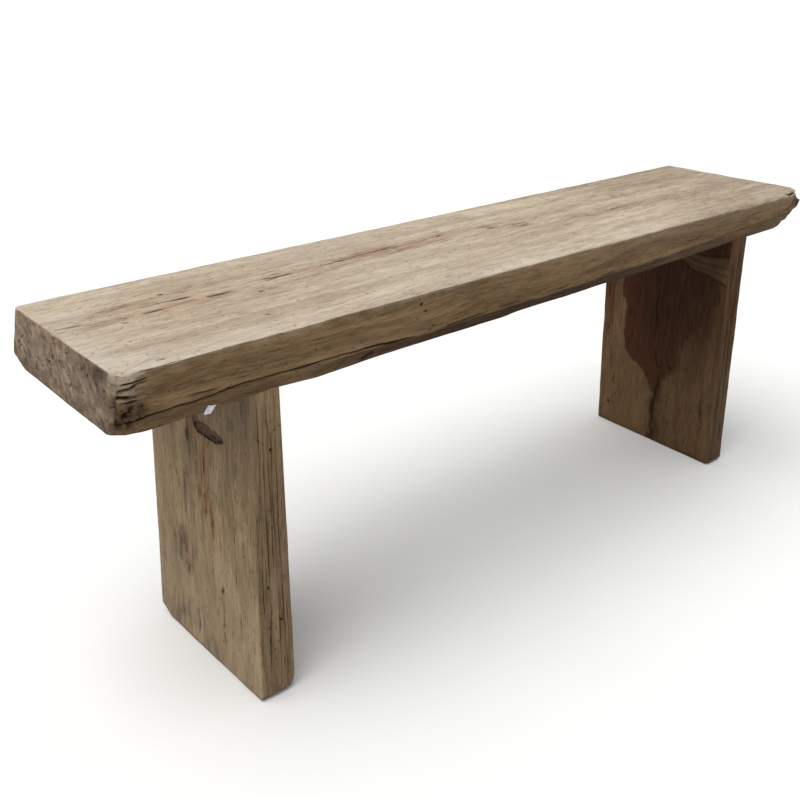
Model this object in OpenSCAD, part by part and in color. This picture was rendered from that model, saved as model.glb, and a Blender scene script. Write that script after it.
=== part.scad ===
// Backless bench of reclaimed timber: a thick waney slab on two splayed slab legs.
// Each leg has two stub tenons in blind mortises under the seat, spread by fox wedges.
// +X runs along the bench, the front is at -Y, +Z is up. The origin is on the floor,
// under the middle of the seat's bounding box.

/* [Seat slab] */
// Length of the seat, over its furthest points
seat_length = 1238; // [900:1:1500]
// Width of the seat, over its widest points
seat_width = 269; // [230:1:340]
// Thickness of the seat
seat_thickness = 60; // [50:1:80]
// Height of the seat's top above the floor
seat_height = 460; // [380:1:520]
// How far the front edge falls back at the left end
front_taper = 14; // [0:1:20]
// How far the back edge comes forward at the right end
back_taper = 7; // [0:1:20]
// How far the back edge falls back from the underside to the top
back_lean = 7; // [0:1:15]
// How far the left end is out of square, at its back corner
left_skew = 3; // [0:1:10]
// How far the right end is out of square, at its back corner
right_skew = 24; // [0:1:30]
// How far the left end falls back from the underside to the top
left_lean = 9; // [0:1:15]
// How far the right end falls back from the top to the underside
right_lean = 18; // [0:1:25]

/* [Waney lower edge] */
// Distance from the left end to where the undercut starts
wane_start = 175; // [100:1:300]
// Depth of the undercut on the underside, at the right end
wane_depth = 15; // [5:1:25]
// Tilt of the undercut face away from vertical
wane_tilt = 30; // [15:1:45]
// Length of the deeper break at the right end
break_length = 210; // [100:1:300]
// Depth of that break on the underside, at the right end
break_depth = 32; // [20:1:45]
// Tilt of that break away from vertical
break_tilt = 42; // [30:1:60]
// Size of the knocked-off top corner at the right front
corner_break = 7; // [2:1:15]

/* [Left leg] */
// Distance from the seat's left end to the leg's outer face
left_inset = 156; // [80:1:220]
// Thickness of the left leg at the seat
left_thickness = 38; // [30:1:50]
// Thickness of the left leg at the floor
left_foot_thickness = 49; // [30:1:55]
// Width of the left leg at the seat
left_top_width = 226; // [200:1:240]
// Width of the left leg at the floor
left_foot_width = 244; // [200:1:255]
// Middle of the left leg's top, from the middle of the seat
left_top_offset = -8; // [-10:1:10]
// Middle of the left leg's foot, from the middle of the seat
left_foot_offset = -12; // [-15:1:15]
// Outward splay of the left leg, in degrees
left_splay = 1.2; // [0:0.1:4]
// Turn of the left leg away from square across the seat, in degrees
left_turn = 0; // [-3:0.1:3]
// Length of the worn cut along the left foot's back corner
left_worn_length = 30; // [0:1:50]
// Height of that worn cut
left_worn_height = 10; // [0:1:20]

/* [Right leg] */
// Distance from the seat's right end to the leg's outer face
right_inset = 135; // [80:1:220]
// Thickness of the right leg at the seat
right_thickness = 41; // [30:1:50]
// Thickness of the right leg at the floor
right_foot_thickness = 37; // [30:1:55]
// Width of the right leg at the seat
right_top_width = 248; // [200:1:250]
// Width of the right leg at the floor
right_foot_width = 249; // [200:1:255]
// Middle of the right leg's top, from the middle of the seat
right_top_offset = 4; // [-10:1:10]
// Middle of the right leg's foot, from the middle of the seat
right_foot_offset = -9; // [-15:1:15]
// Outward splay of the right leg, in degrees
right_splay = 1.3; // [0:0.1:4]
// Turn of the right leg away from square across the seat, in degrees
right_turn = 1.6; // [-3:0.1:3]

/* [Leg joints] */
// Width of each tenon at its shoulder
tenon_width = 62; // [40:1:70]
// Thickness of each tenon
tenon_thickness = 16; // [10:1:20]
// Length of each tenon
tenon_length = 36; // [20:1:40]
// Distance between the two tenons' middles
tenon_spacing = 112; // [90:1:125]
// How far each tenon's ends spread outward at its tip
tenon_flare = 2.5; // [0:0.1:4]
// Space between a tenon's tip and the mortise's floor
mortise_gap = 2; // [1:0.1:4]
// Clearance on each cheek of a tenon
cheek_clearance = 0.1; // [0:0.05:0.3]

/* [Fox wedges] */
// Distance from a tenon's end to its kerf's middle
wedge_inset = 12; // [8:1:18]
// How deep a wedge goes into its tenon
wedge_depth = 24; // [12:1:28]
// Width of a wedge's head
wedge_head = 5; // [3:0.1:6]
// Width of a wedge's point, which is the saw kerf's width
wedge_point = 1.2; // [0.8:0.1:2]
// How much deeper the saw kerf goes than the wedge
kerf_extra = 4; // [1:1:6]

/* [Paper label] */
// Length of the label
label_length = 16; // [8:1:20]
// Height of the label
label_height = 6; // [5:1:12]
// Thickness of the label
label_thickness = 0.4; // [0.2:0.1:0.8]
// Distance from the seat's left end to the label's middle
label_inset = 110; // [60:1:130]
// Tilt of the label on the seat's front face, in degrees
label_tilt = 32; // [0:1:60]
// How far the label hangs below the seat's underside
label_drop = 6; // [0:0.5:7]

/* [Hidden] */

leg_height = seat_height - seat_thickness;
half_length = seat_length / 2;
half_width = seat_width / 2;
front_left_y = -half_width + front_taper;
back_left = [-half_length + left_skew, half_width];
back_right = [half_length - right_skew, half_width - back_taper];
front_run = seat_length - corner_break;
front_angle = -atan(front_taper / front_run);
mortise_depth = tenon_length + mortise_gap;
// Half a kerf width either side of each tenon's end positions
wedge_offset = tenon_width / 2 - wedge_inset;
// Length by which cutting shapes run past what they cut
spare = 10;
// How far a tenon's root runs down into its leg
tenon_root = 6;

// Front edge's place at a distance x from the middle of the seat
function front_y(x) = front_left_y - front_taper * (x + half_length) / front_run;

// A leg: side (-1 left, 1 right), inset, thickness, top and foot widths and offsets, splay,
// turn and foot thickness
LEFT = [-1, left_inset, left_thickness, left_top_width, left_foot_width,
    left_top_offset, left_foot_offset, left_splay, left_turn, left_foot_thickness];
RIGHT = [1, right_inset, right_thickness, right_top_width, right_foot_width,
    right_top_offset, right_foot_offset, right_splay, right_turn, right_foot_thickness];
function side(leg) = leg[0];
function thickness(leg) = leg[2];
function leg_x(leg) = side(leg) * (half_length - leg[1] - thickness(leg) / 2);

// Moves its children to a leg's own frame: the middle of its shoulder, turned and splayed
module at_leg(leg) {
    translate([leg_x(leg), leg[5], leg_height])
        rotate([0, -side(leg) * leg[7], -side(leg) * leg[8]]) children();
}

// A board of the given thickness along X, with its outline in Y and Z
module board(points, board_thickness) {
    rotate([90, 0, 90])
        linear_extrude(height = board_thickness, center = true) polygon(points);
}

// A cut on both faces of a leg, that brings it to its thickness at the seat and the floor
module face_cuts(leg) {
    size = 3 * leg_height;
    half = thickness(leg) / 2;
    taper = atan((leg[9] - thickness(leg)) / 2 / leg_height);
    for (face = [-1, 1]) translate([face * half, 0, 0]) rotate([0, -face * taper, 0])
        translate([face * size / 2, 0, 0]) cube([size, size, size], center = true);
}

// The sawn blank of a leg, in its own frame, longer than the leg at both ends
module leg_blank(leg) {
    slope = [
        (leg[6] - leg[5] - (leg[4] - leg[3]) / 2) / leg_height,
        (leg[6] - leg[5] + (leg[4] - leg[3]) / 2) / leg_height
    ];
    low = -leg_height - spare;
    difference() {
        board([
            [-leg[3] / 2 - slope[0] * low, low],
            [leg[3] / 2 - slope[1] * low, low],
            [leg[3] / 2 - slope[1] * spare, spare],
            [-leg[3] / 2 - slope[0] * spare, spare]
        ], 2 * max(thickness(leg), leg[9]));
        face_cuts(leg);
    }
}

// The flared profile shared by a tenon and its mortise, up to a height above the shoulder
module tenon_profile(bottom, top, profile_thickness) {
    half = tenon_width / 2;
    tip = half + tenon_flare * top / tenon_length;
    board([[-half, bottom], [half, bottom], [half, 0], [tip, top], [-tip, top], [-half, 0]],
        profile_thickness);
}

// A wedge, from its point in the tenon to its head on the mortise's floor
module wedge_shape() {
    board([
        [-wedge_point / 2, tenon_length - wedge_depth],
        [wedge_point / 2, tenon_length - wedge_depth],
        [wedge_head / 2, mortise_depth],
        [-wedge_head / 2, mortise_depth]
    ], tenon_thickness);
}

// The kerf for a wedge: the wedge's own shape and the saw cut below its point
module kerf_shape() {
    wedge_shape();
    low = tenon_length - wedge_depth - kerf_extra;
    translate([0, 0, (low + tenon_length - wedge_depth) / 2])
        cube([tenon_thickness + 2, wedge_point, kerf_extra], center = true);
}

// Places of a leg's two tenons and four wedges across its width
function tenon_y(i) = (i - 0.5) * tenon_spacing;
function wedge_y(i) = tenon_y(floor(i / 2)) + (i % 2 == 0 ? -1 : 1) * wedge_offset;

module leg_tenons() {
    difference() {
        for (i = [0, 1]) translate([0, tenon_y(i), 0])
            tenon_profile(-tenon_root, tenon_length, tenon_thickness);
        for (i = [0:3]) translate([0, wedge_y(i), 0]) kerf_shape();
    }
}

module leg_mortises(leg) {
    at_leg(leg) for (i = [0, 1]) translate([0, tenon_y(i), 0])
        tenon_profile(-tenon_root, mortise_depth, tenon_thickness + 2 * cheek_clearance);
}

// A leg: its blank cut level at the shoulder and the floor, with its two tenons
module leg_body(leg) {
    reach = half_length + spare;
    intersection() {
        at_leg(leg) leg_blank(leg);
        translate([-reach, -seat_width, 0]) cube([2 * reach, 2 * seat_width, leg_height]);
    }
    at_leg(leg) leg_tenons();
}

// A cut along the lower front edge, between two points on the underside
module lower_edge_cut(from, to, tilt) {
    run = to - from;
    length = norm(run) + 4 * spare;
    size = 3 * seat_thickness;
    translate([from.x, from.y, leg_height]) rotate([0, 0, atan2(run.y, run.x)])
        rotate([tilt, 0, 0]) translate([-2 * spare, -size, -size / 2]) cube([length, size, size]);
}

// The worn cut along the bottom of the left foot's back edge
module worn_foot_cut() {
    foot_back = left_foot_offset + left_foot_width / 2;
    translate([leg_x(LEFT), foot_back, 0]) rotate([90, 0, 90])
        linear_extrude(height = 4 * left_thickness, center = true)
            polygon([[-left_worn_length, 0], [spare, 0], [spare, 2 * left_worn_height],
                [0, left_worn_height]]);
}

// A cut that slopes inward by lean over the seat's thickness, outside the line from one point
// to another, and runs on downward as well where the line is on the top
module lean_cut(from, to, lean, base) {
    run = to - from;
    length = norm(run) + 4 * spare;
    size = 3 * seat_thickness;
    translate([from.x, from.y, base]) rotate([0, 0, atan2(run.y, run.x)])
        rotate([(base > leg_height ? -1 : 1) * atan(lean / seat_thickness), 0, 0])
            translate([-2 * spare, 0, -size / 2]) cube([length, size, size]);
}

module seat_slab() {
    color([0.70, 0.62, 0.51]) difference() {
        translate([0, 0, leg_height]) linear_extrude(height = seat_thickness) polygon([
            [-half_length, front_left_y],
            [half_length - corner_break, -half_width],
            [half_length, -half_width + corner_break],
            back_right,
            back_left
        ]);
        lean_cut([-half_length, front_left_y], back_left, left_lean, leg_height);
        lean_cut(back_right, [half_length, -half_width], right_lean, seat_height);
        lean_cut(back_left, back_right, back_lean, leg_height);
        lower_edge_cut(
            [-half_length + wane_start, front_y(-half_length + wane_start)],
            [half_length, -half_width + wane_depth], wane_tilt);
        lower_edge_cut(
            [half_length - break_length, front_y(half_length - break_length) + wane_depth * 0.8],
            [half_length, -half_width + break_depth], break_tilt);
        leg_mortises(LEFT);
        leg_mortises(RIGHT);
    }
}

module left_leg() {
    color([0.49, 0.42, 0.33]) difference() {
        leg_body(LEFT);
        worn_foot_cut();
    }
}

module right_leg() {
    color([0.35, 0.27, 0.20]) leg_body(RIGHT);
}

module fox_wedge(leg, i) {
    color([0.62, 0.48, 0.32]) at_leg(leg) translate([0, wedge_y(i), 0]) wedge_shape();
}

// The label lies flat on the seat's front face, and hangs a little below the underside
module paper_label() {
    low_corner = (label_length * sin(label_tilt) + label_height * cos(label_tilt)) / 2;
    x = -half_length + label_inset;
    color([0.90, 0.89, 0.87])
        translate([x, front_y(x), leg_height + low_corner - label_drop]) rotate([90, 0, front_angle])
            rotate([0, 0, label_tilt]) translate([-label_length / 2, -label_height / 2, 0])
                cube([label_length, label_height, label_thickness]);
}

seat_slab();
left_leg();
right_leg();
fox_wedge(LEFT, 0);  // left_wedge_1
fox_wedge(LEFT, 1);  // left_wedge_2
fox_wedge(LEFT, 2);  // left_wedge_3
fox_wedge(LEFT, 3);  // left_wedge_4
fox_wedge(RIGHT, 0);  // right_wedge_1
fox_wedge(RIGHT, 1);  // right_wedge_2
fox_wedge(RIGHT, 2);  // right_wedge_3
fox_wedge(RIGHT, 3);  // right_wedge_4
paper_label();
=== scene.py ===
"""A backless bench of reclaimed elm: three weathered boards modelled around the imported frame."""

import math

import bpy
import numpy as np
from mathutils import Matrix, Vector
from mathutils.geometry import delaunay_2d_cdt


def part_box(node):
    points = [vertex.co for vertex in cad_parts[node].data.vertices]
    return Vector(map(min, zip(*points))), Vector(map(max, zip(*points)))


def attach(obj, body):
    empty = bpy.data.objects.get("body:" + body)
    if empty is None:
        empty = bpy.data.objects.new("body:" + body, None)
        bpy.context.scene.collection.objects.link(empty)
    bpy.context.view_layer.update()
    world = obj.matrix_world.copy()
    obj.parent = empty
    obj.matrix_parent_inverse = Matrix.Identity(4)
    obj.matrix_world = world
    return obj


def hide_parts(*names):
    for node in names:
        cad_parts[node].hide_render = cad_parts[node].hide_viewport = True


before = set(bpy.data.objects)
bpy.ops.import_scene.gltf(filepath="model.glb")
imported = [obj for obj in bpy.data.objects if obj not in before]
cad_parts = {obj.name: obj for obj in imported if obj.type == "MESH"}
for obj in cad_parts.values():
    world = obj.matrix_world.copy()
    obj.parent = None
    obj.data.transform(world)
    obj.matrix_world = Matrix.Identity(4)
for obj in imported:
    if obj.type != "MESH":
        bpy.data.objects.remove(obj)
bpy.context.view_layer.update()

# The camera: where it stands, the way it looks in degrees, and its lens and sensor in millimetres
CAMERA_AT = (-0.977, -0.944, 0.845)
CAMERA_YAW = 41.27
CAMERA_PITCH = 25.13
CAMERA_ROLL = 0.83
CAMERA_LENS = 45.46
SENSOR = 36.0

# How far each leg runs on up into the seat, so that no gap shows at its shoulder
SHOULDER_LAP = 0.003
LABEL_THICKNESS = 0.0003


# ---------------------------------------------------------------- noise


def lattice_random(cells, seed):
    """A repeatable number from -1 to 1 for each row of three whole numbers."""
    mixed = cells.astype(np.uint64) @ np.array([374761393, 668265263, 1442695041], np.uint64)
    mixed = (mixed + np.uint64(seed * 1013904223)) & np.uint64(0xFFFFFFFF)
    for factor, shift in ((1274126177, 13), (2246822519, 16), (3266489917, 15)):
        mixed = ((mixed ^ (mixed >> np.uint64(shift))) * np.uint64(factor)) & np.uint64(0xFFFFFFFF)
    return mixed / 2.0**31 - 1


def noise(points, seed):
    """Smooth noise from -1 to 1 at each point, with features one unit across."""
    cells = np.floor(points).astype(np.int64)
    t = points - cells
    t = t * t * (3 - 2 * t)
    total = np.zeros(len(points))
    for step in np.ndindex(2, 2, 2):
        weight = np.prod(np.where(step, t, 1 - t), axis=1)
        total += weight * lattice_random(cells + np.array(step), seed)
    return total


def fractal(points, seed, octaves=3):
    """Noise with finer noise added, each octave half as big and half as strong."""
    return sum(noise(points * 2.0**i, seed + i) / 2.0**i for i in range(octaves))


def smooth_step(value, low, high):
    """0 below low, 1 above high, and a smooth rise between them."""
    t = np.clip((value - low) / (high - low), 0, 1)
    return t * t * (3 - 2 * t)


def fall(value, low, high):
    """1 below low, 0 above high, and a smooth fall between them."""
    return smooth_step(-value, -high, -low)


def patchy(points, seed, level, change):
    """Noise in patches, from 0 to 1 about a level."""
    return np.clip(level + change * fractal(points, seed), 0, 1)


def bell(distance, width):
    """1 where distance is 0, and almost nothing beyond two widths."""
    return np.exp(-((distance / width) ** 2))


def oval(a, b, centre, radii):
    """0 at an oval's centre, 1 on its outline, and more outside it."""
    return ((a - centre[0]) / radii[0]) ** 2 + ((b - centre[1]) / radii[1]) ** 2


def spot(a, b, centre, radii):
    """1 at an oval's centre, and almost nothing beyond twice its radii."""
    return np.exp(-oval(a, b, centre, radii))


def along(value, points):
    """A value read from a short list of (place, value) points, with straight runs between."""
    places, values = zip(*points)
    return np.interp(value, places, values)


# ---------------------------------------------------------------- a board's mesh


def spread(half, count, crowding=0.35):
    """Places from -half to half, closer together near both ends."""
    s = np.linspace(-1, 1, count + 1)
    return half * (s + crowding * np.sin(math.pi * s) / math.pi)


def ring_of(half_v, half_t, counts):
    """A board's section as (v, t) points, round its high, low-v, low and high-v sides."""
    high, low_edge, low, high_edge = counts
    sides = [
        [(v, half_t) for v in spread(half_v, high)[::-1][:-1]],
        [(-half_v, t) for t in spread(half_t, low_edge)[::-1][:-1]],
        [(v, -half_t) for v in spread(half_v, low)[:-1]],
        [(half_v, t) for t in spread(half_t, high_edge)[:-1]],
    ]
    return np.array([p for side in sides for p in side])


def cap_faces(ring, half_v, half_t, spacing):
    """Inner points and triangles that fill a section's outline: (points, faces)."""
    inner_v = np.arange(-half_v + spacing, half_v - spacing / 2, spacing)
    inner_t = np.arange(-half_t + spacing, half_t - spacing / 2, spacing)
    inner = np.array([(v, t) for v in inner_v for t in inner_t])
    points = [Vector(p) for p in np.vstack([ring, inner])]
    edges = [(i, (i + 1) % len(ring)) for i in range(len(ring))]
    _, _, faces, origins, _, _ = delaunay_2d_cdt(points, edges, [], 1, 1e-9)
    return inner, [tuple(origins[i][0] for i in f) for f in faces]


class Board:
    """A closed board: u runs along the grain, v across its width and t through its thickness.

    place holds each vertex, normal the way it faces, and depth how far it is cut inward.
    marks holds, for each vertex, how strongly the wood's material shows each kind of mark."""

    # The stain mark carries painted shade as well as real stains, and the pale mark carries some painted
    # light as well as bleaching and wear
    MARKS = ("crack", "stain", "red", "pale", "end", "face")

    def __init__(self, size, stations, counts, cap_spacing):
        self.half = np.array(size) / 2
        ring = ring_of(self.half[1], self.half[2], counts)
        u = spread(self.half[0], stations, 0.55)
        n, k = len(ring), len(u)
        inner, cap = cap_faces(ring, self.half[1], self.half[2], cap_spacing)
        sides = np.column_stack([np.repeat(u, n), np.tile(ring, (k, 1))])
        low_cap = np.column_stack([np.full(len(inner), u[0]), inner])
        self.base = np.vstack([sides, low_cap, low_cap * (-1, 1, 1)])
        self.faces, self.uvs = self.wrap(ring, n, k, len(inner), cap)
        self.depth = np.zeros(len(self.base))
        self.marks = {name: np.zeros(len(self.base)) for name in self.MARKS}

    def wrap(self, ring, n, k, inner_count, cap):
        """Every face's vertices, and the place of each corner on the bake's map."""
        row, column = np.meshgrid(np.arange(k - 1), np.arange(n), indexing="ij")
        row, column = row.ravel(), column.ravel()
        after = (column + 1) % n
        quads = np.column_stack([row * n + column, row * n + after,
                                 (row + 1) * n + after, (row + 1) * n + column])
        steps = np.linalg.norm(np.roll(ring, -1, axis=0) - ring, axis=1)
        around = np.concatenate([[0], np.cumsum(steps)]) / steps.sum()
        low_u, high_u = 0.8 * row / (k - 1), 0.8 * (row + 1) / (k - 1)
        low_v, high_v = around[column], around[column + 1]
        corners = [(low_u, low_v), (low_u, high_v), (high_u, high_v), (high_u, low_v)]
        uvs = [np.stack([np.column_stack(c) for c in corners], 1).reshape(-1, 2)]
        faces = [tuple(q) for q in quads.tolist()]
        for end in (0, 1):
            ring_start = end * (k - 1) * n
            inner_start = k * n + end * inner_count
            for face in cap:
                turned = [i + ring_start if i < n else i - n + inner_start for i in face]
                faces.append(tuple(turned if end else turned[::-1]))
            order = np.array([c for f in faces[-len(cap):] for c in f])
            v, t = self.base[order, 1] / self.half[1], self.base[order, 2] / self.half[2]
            uvs.append(np.column_stack([0.9 + 0.08 * t, 0.25 + 0.5 * end + 0.23 * v]))
        return faces, np.vstack(uvs)

    def round_edges(self, radius):
        """Rounds every edge and corner by radius, one value for each vertex."""
        r = radius[:, None]
        core = np.clip(self.base, -(self.half - r), self.half - r)
        out = self.base - core
        self.normal = out / np.linalg.norm(out, axis=1)[:, None]
        self.place = core + self.normal * r
        self.marks["end"] = smooth_step(np.abs(self.normal[:, 0]), 0.4, 0.8)

    def knock_off(self, signs, reach, seed, rough=0.001, mark=None, strength=1.0):
        """Cuts an edge or a corner off flat, reach from it along each axis (0 for no limit)."""
        slope = np.array([s / r if r else 0.0 for s, r in zip(signs, reach)])
        size = np.linalg.norm(slope)
        way = slope / size
        tip = self.half * np.sign(slope)
        over = (self.place - tip) @ way + 1 / size
        over += rough * (1 + fractal(self.place * 90, seed))
        over = np.maximum(over, 0)
        self.place -= over[:, None] * way
        if mark:
            self.stain(mark, strength * smooth_step(over, 0, 0.002))

    def side(self, axis, sign):
        """How much each vertex faces one way, from 0 to 1: axis 1 is v and axis 2 is t."""
        return smooth_step(self.normal[:, axis] * sign, 0.35, 0.8)

    def stain(self, mark, amount, chosen=slice(None)):
        """Strengthens a mark on the chosen vertices to amount, where it isn't as strong yet."""
        self.marks[mark][chosen] = np.maximum(self.marks[mark][chosen], amount)

    def relief(self, amount):
        """Sinks the surface by amount on top of its other cuts, or raises it by a negative one."""
        self.depth = self.depth + amount

    def cut(self, amount, mark, strength=1.0, chosen=slice(None)):
        """Sinks the chosen vertices to amount, where they aren't as deep yet, and marks them."""
        self.depth[chosen] = np.maximum(self.depth[chosen], amount)
        self.stain(mark, strength * amount / max(amount.max(initial=0), 1e-9), chosen)

    def crack(self, a, b, where, path, width, depth, seed, strength=1.0, wander=0.0009, least=0.3,
              chosen=slice(None)):
        """A crack along a, whose place across it, b, follows path with a little wander.

        width is half the crack's width at its widest, and least is how open it always stays."""
        a, b, where = a[chosen], b[chosen], where[chosen]
        low, high = path[0][0], path[-1][0]
        line = np.column_stack([a * 34, a * 0, a * 0])
        shift = fractal(line, seed) * wander
        fade = min(0.25 * (high - low), 0.03)
        ends = smooth_step(a, low, low + fade) * fall(a, high - fade, high)
        openness = least + (1 - least) * smooth_step(noise(line * 0.9 + 5, seed + 1), -0.5, 0.5)
        openness = ends * openness
        gap = np.abs(b - along(a, path) - shift) / (width * (0.35 + 0.65 * openness))
        shape = np.clip(1.15 - gap, 0, 1) * openness
        self.cut(depth * shape * where, "crack", strength, chosen)

    def scatter_cracks(self, a, b, where, spans, count, width, depth, seed, strength=0.6):
        """Small cracks at random along a, within spans: the lowest and highest a and b."""
        (low_a, high_a), (low_b, high_b) = spans
        random = np.random.RandomState(seed)
        for i in range(count):
            length = 0.012 + 0.07 * random.rand() ** 2
            start = low_a + (high_a - low_a - length) * random.rand()
            place = low_b + (high_b - low_b) * random.rand()
            slope = 0.06 * (random.rand() - 0.5)
            path = [(start, place), (start + length, place + slope * length)]
            size = 0.6 + 0.6 * random.rand()
            near = np.flatnonzero((where > 0) & (a > start - 0.01) & (a < start + length + 0.01))
            self.crack(a, b, where, path, width * size, depth * size, seed + 7 * i, strength * size,
                       chosen=near)

    def pit(self, a, b, where, centre, radii, depth, strength=1.0):
        """An oval hollow."""
        reach = oval(a, b, centre, radii)
        self.cut(depth * np.exp(-reach * reach) * where, "crack", strength)

    def scatter_pits(self, a, b, where, spans, count, radii, depth, seed, strength=0.8):
        """Small holes at random, within spans."""
        (low_a, high_a), (low_b, high_b) = spans
        random = np.random.RandomState(seed)
        for _ in range(count):
            place = (low_a + (high_a - low_a) * random.rand(), low_b + (high_b - low_b) * random.rand())
            size = 0.55 + 0.7 * random.rand() ** 2
            self.pit(a, b, where, place, (radii[0] * size, radii[1] * size), depth * size,
                     strength * min(size, 1))

    def build(self, name, to_world, material):
        """Makes the object: sinks the cuts, and maps the board to where it stands."""
        world = to_world(self.place - self.normal * self.depth[:, None])
        mesh = bpy.data.meshes.new(name)
        mesh.from_pydata(world.tolist(), [], self.faces)
        layer = mesh.uv_layers.new(name="OFBake")
        layer.uv.foreach_set("vector", self.uvs.astype(np.float32).ravel())
        for mark, values in self.marks.items():
            attribute = mesh.attributes.new(mark, "FLOAT", "POINT")
            attribute.data.foreach_set("value", np.clip(values, 0, 1).astype(np.float32))
        mesh.shade_smooth()
        piece = bpy.data.objects.new(name, mesh)
        bpy.context.scene.collection.objects.link(piece)
        piece.data.materials.append(material)
        return piece


# ---------------------------------------------------------------- materials


class Graph:
    """Short calls for building a material's nodes."""

    def __init__(self, name):
        self.material = bpy.data.materials.new(name)
        self.material.use_nodes = True
        self.tree = self.material.node_tree
        self.shader = self.tree.nodes["Principled BSDF"]

    def node(self, kind, inputs=(), **settings):
        """A new node of a kind, with each input a link or a value."""
        made = self.tree.nodes.new("ShaderNode" + kind)
        for name, value in settings.items():
            setattr(made, name, value)
        for key, value in dict(inputs).items():
            if isinstance(value, bpy.types.NodeSocket):
                self.tree.links.new(value, made.inputs[key])
            else:
                made.inputs[key].default_value = value
        return made

    def times(self, a, b):
        return self.node("Math", {0: a, 1: b}, operation="MULTIPLY").outputs[0]

    def plus(self, a, b):
        return self.node("Math", {0: a, 1: b}, operation="ADD").outputs[0]

    def step(self, value, low, high, to_low=0.0, to_high=1.0):
        """value from low to high, as a smooth rise from to_low to to_high."""
        made = self.node("MapRange", {"Value": value, "From Min": low, "From Max": high,
                                      "To Min": to_low, "To Max": to_high},
                         interpolation_type="SMOOTHSTEP")
        return made.outputs[0]

    def mark(self, name):
        """One of the board's marks."""
        return self.node("Attribute", attribute_name=name).outputs["Fac"]

    def blend(self, amount, a, b):
        """Colours a and b mixed by amount."""
        made = self.node("Mix", data_type="RGBA")
        for index, value in ((0, amount), (6, a), (7, b)):
            if isinstance(value, bpy.types.NodeSocket):
                self.tree.links.new(value, made.inputs[index])
            else:
                made.inputs[index].default_value = (*value, 1) if index else value
        return made.outputs[2]

    def scaled(self, vector, scale, offset=(0, 0, 0), turn=(0, 0, 0)):
        return self.node("Mapping", {"Vector": vector, "Scale": scale, "Location": offset,
                                     "Rotation": turn}).outputs[0]

    def noise(self, vector, scale, detail=3.0, roughness=0.5):
        """Noise from 0 to 1 with its own scale along each axis, in cycles a metre."""
        made = self.node("TexNoise", {"Vector": self.scaled(vector, scale), "Scale": 1.0,
                                      "Detail": detail, "Roughness": roughness})
        return made.outputs["Fac"]

    def colour(self, socket):
        self.tree.links.new(socket, self.shader.inputs["Base Color"])

    def roughness(self, socket):
        self.tree.links.new(socket, self.shader.inputs["Roughness"])

    def bump(self, height, distance):
        made = self.node("Bump", {"Height": height, "Strength": 0.9, "Distance": distance})
        self.tree.links.new(made.outputs[0], self.shader.inputs["Normal"])


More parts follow.
